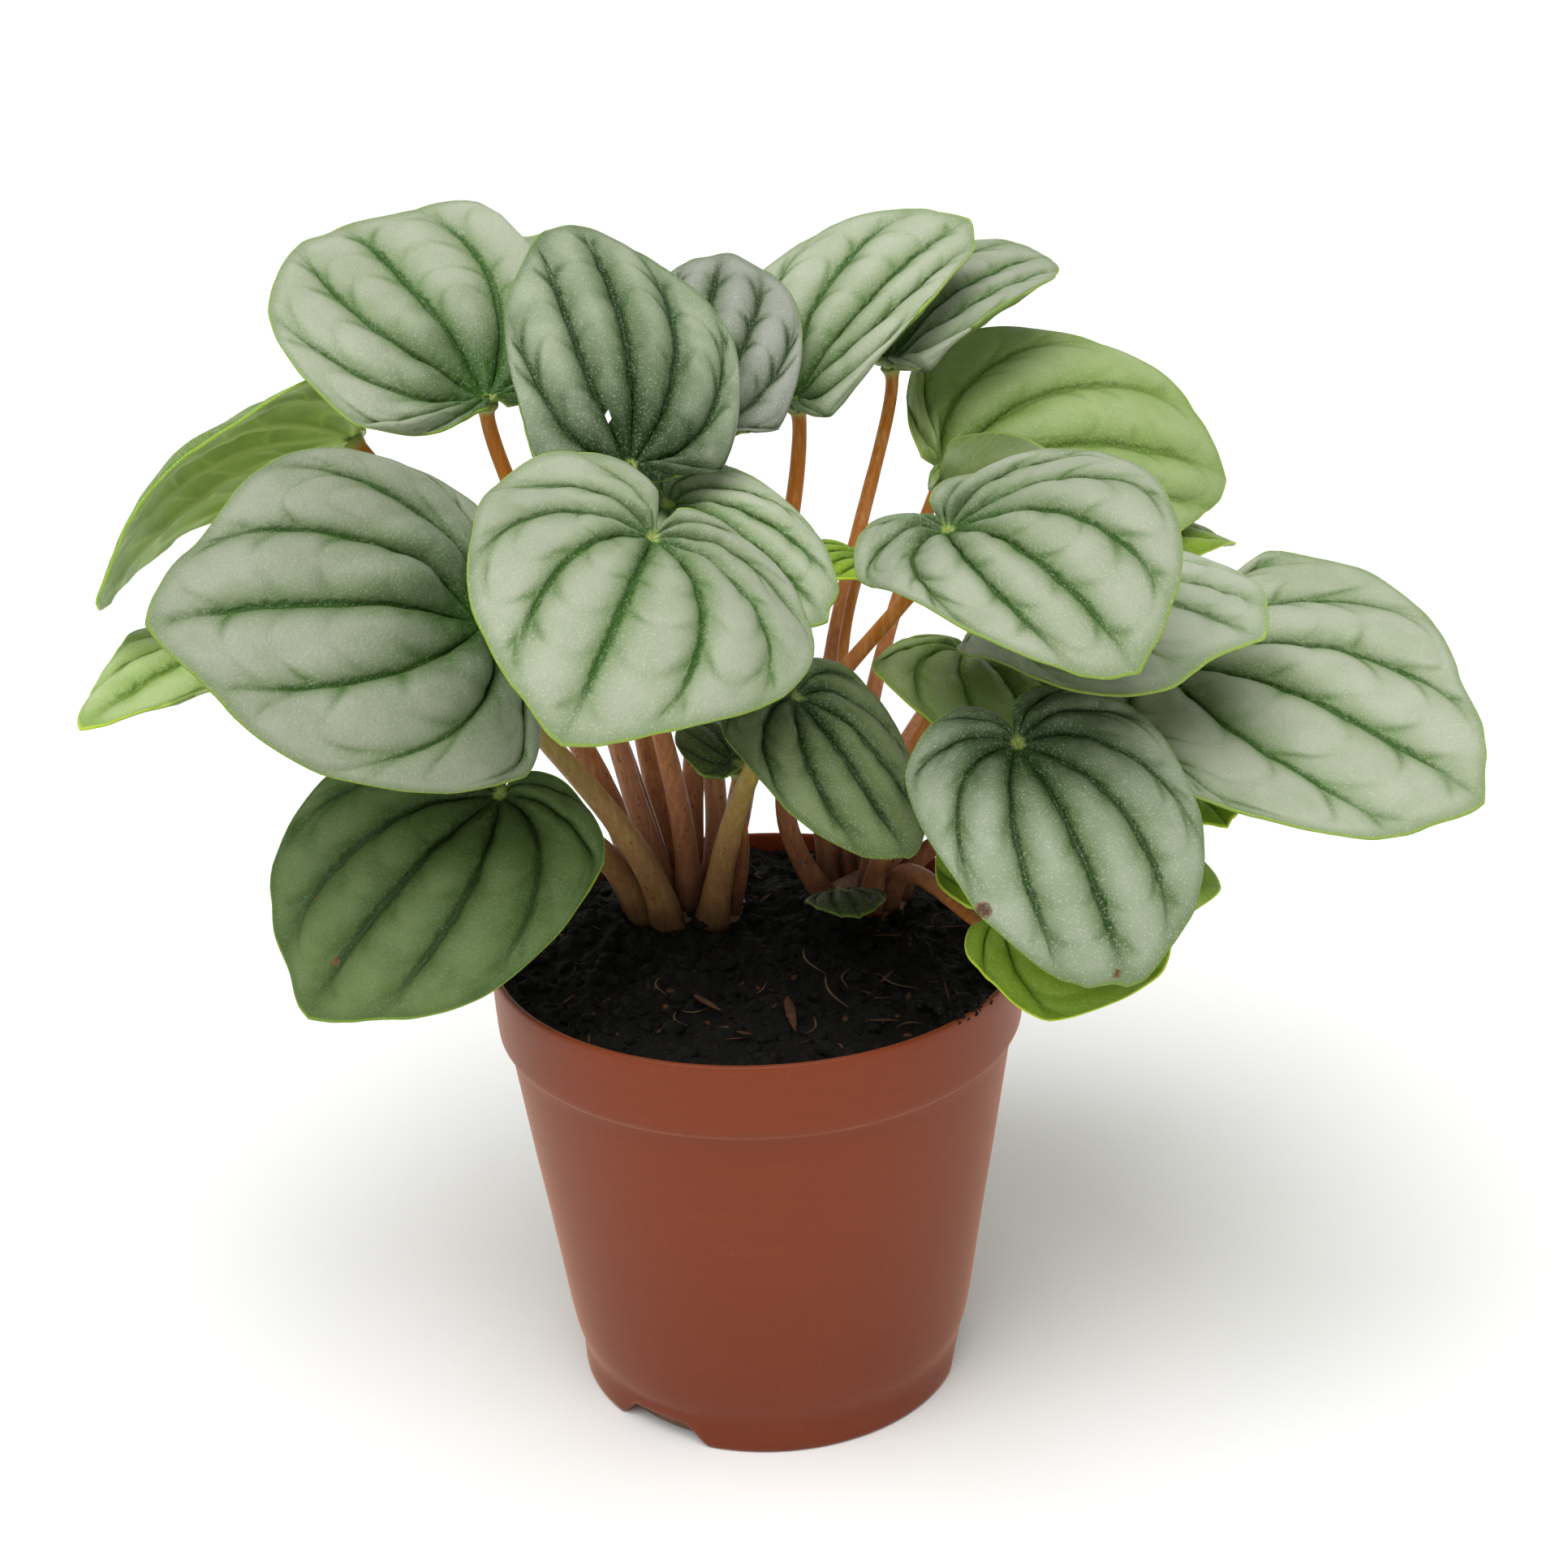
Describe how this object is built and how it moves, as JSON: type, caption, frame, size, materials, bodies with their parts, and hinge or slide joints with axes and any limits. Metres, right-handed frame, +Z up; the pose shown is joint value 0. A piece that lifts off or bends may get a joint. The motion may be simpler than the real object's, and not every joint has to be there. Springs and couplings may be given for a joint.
{
  "type": "potted peperomia",
  "caption": "Small peperomia house plant: heart-shaped silver-green ribbed leaves on reddish stalks over dark peat in a round terracotta-brown plastic nursery pot.",
  "frame": {"origin": "middle of the flat underside of the pot", "axes": "+Z up through the pot's middle, -Y toward the side that the picture shows, +X to its right"},
  "size_m": [0.2241, 0.1538, 0.1946],
  "materials": {
    "pot": "satin",
    "soil": "matte",
    "crown": "matte",
    "stalk": "satin",
    "leaf_silver": "satin",
    "leaf_green": "satin",
    "leaf_light": "satin",
    "leaf_violet": "satin"
  },
  "bodies": {
    "root": {"back_centre_blade": "leaf_silver", "back_centre_stalk": "stalk", "back_right_blade": "leaf_silver", "back_right_stalk": "stalk", "centre_back_blade": "leaf_silver", "centre_back_stalk": "stalk", "crown_main": "crown", "crown_side": "crown", "dark_small_blade": "leaf_green", "dark_small_stalk": "stalk", "front_centre_blade": "leaf_silver", "front_centre_stalk": "stalk", "front_left_blade": "leaf_silver", "front_left_stalk": "stalk", "front_right_blade": "leaf_silver", "front_right_stalk": "stalk", "front_small_blade": "leaf_silver", "front_small_stalk": "stalk", "left_back_blade": "leaf_green", "left_back_stalk": "stalk", "left_low_blade": "leaf_light", "left_low_stalk": "stalk", "low_right_blade": "leaf_green", "low_right_stalk": "stalk", "lower_left_blade": "leaf_green", "lower_left_stalk": "stalk", "mid_right_blade": "leaf_green", "mid_right_stalk": "stalk", "pot": "pot", "right_back_blade": "leaf_light", "right_back_low_blade": "leaf_light", "right_back_low_stalk": "stalk", "right_back_stalk": "stalk", "right_far_blade": "leaf_silver", "right_far_stalk": "stalk", "right_low_small_blade": "leaf_green", "right_low_small_stalk": "stalk", "right_mid_blade": "leaf_silver", "right_mid_stalk": "stalk", "right_upper_blade": "leaf_silver", "right_upper_stalk": "stalk", "soil": "soil", "soil_leaf_blade": "leaf_green", "soil_leaf_stalk": "stalk", "top_front_blade": "leaf_silver", "top_front_stalk": "stalk", "top_left_blade": "leaf_silver", "top_left_stalk": "stalk", "top_mid_back_blade": "leaf_violet", "top_mid_back_stalk": "stalk", "top_right_back_blade": "leaf_silver", "top_right_back_stalk": "stalk", "top_right_blade": "leaf_silver", "top_right_stalk": "stalk", "young_blade": "leaf_light", "young_stalk": "stalk"}
  },
  "joints": []
}
